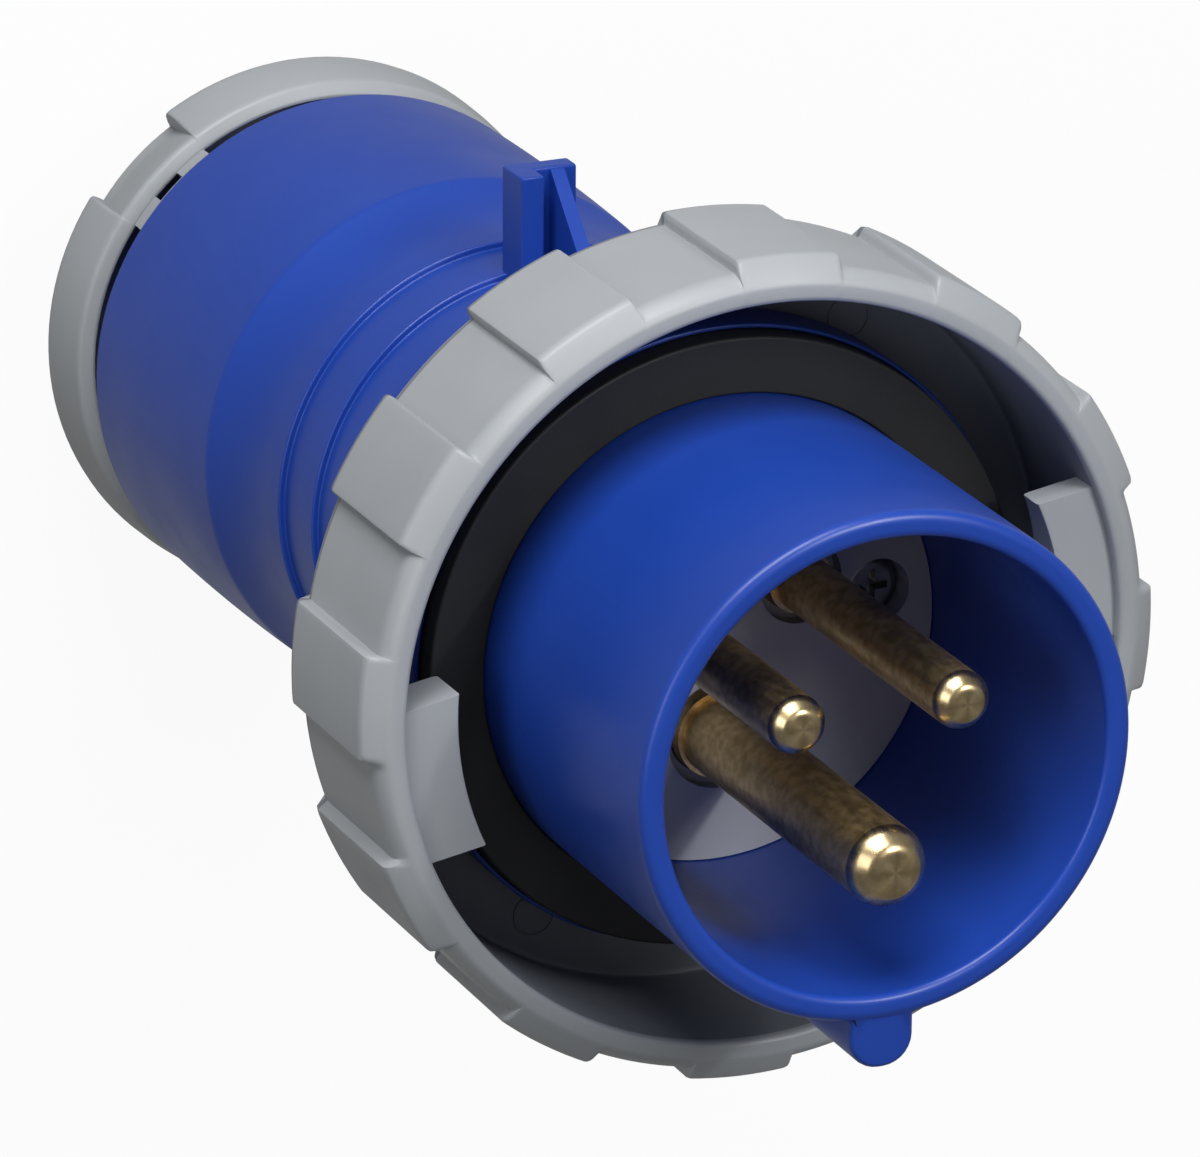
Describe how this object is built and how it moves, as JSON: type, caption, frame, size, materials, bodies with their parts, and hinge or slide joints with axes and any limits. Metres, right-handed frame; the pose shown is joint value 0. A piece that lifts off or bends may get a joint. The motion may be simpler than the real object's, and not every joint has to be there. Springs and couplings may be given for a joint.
{
  "type": "industrial pin and sleeve plug",
  "caption": "Industrial pin and sleeve plug: keyed blue sleeve round brass pins, a turning grey bayonet locking ring, and a clamping cable gland nut behind the bell.",
  "frame": {"origin": "centre of the gland nut's back face, on the plug's axis", "axes": "+Z along the plug's axis from the cable end to the open sleeve, -Y towards the key rib and the earth pin"},
  "size_m": [0.0728, 0.0728, 0.1395],
  "materials": {
    "blue_plastic": "satin moulded",
    "grey_plastic": "satin moulded",
    "insert_plastic": "matte moulded",
    "brass": "turned",
    "steel": "zinc plated",
    "rubber": "matte"
  },
  "bodies": {
    "plug_body": {"front_body": "blue_plastic", "rear_housing": "blue_plastic", "contact_carrier": "insert_plastic", "carrier_back_plate": "insert_plastic", "carrier_seal": "rubber", "housing_o_ring": "rubber", "line_pin": "brass", "neutral_pin": "brass", "earth_pin": "brass", "phase_terminal_screws": "steel", "earth_terminal_screw": "steel", "pressure_plates": "steel", "housing_screws": "steel", "face_gasket": "rubber", "clamp_cage": "grey_plastic", "gland_seal": "rubber", "seal_insert": "rubber"},
    "ring": {"locking_ring": "grey_plastic"},
    "slip_washer": {"thrust_washer": "grey_plastic"},
    "nut": {"gland_nut": "grey_plastic"}
  },
  "joints": [
    {"name": "ring_turn", "type": "hinge", "parent": "plug_body", "child": "ring", "pos_m": [0, 0, 0.1055], "axis": [0, 0, 1], "range_deg": [0, 45]},
    {"name": "nut_advance", "type": "slide", "parent": "plug_body", "child": "slip_washer", "axis": [0, 0, 1], "range_m": [-0.0025, 0]},
    {"name": "nut_turn", "type": "hinge", "parent": "slip_washer", "child": "nut", "pos_m": [0, 0, 0.009], "axis": [0, 0, 1], "range_deg": [-300, 0]}
  ],
  "couplings": [
    {"joint": "nut_turn", "follows": "nut_advance", "rad_per_m": 2094.4}
  ]
}
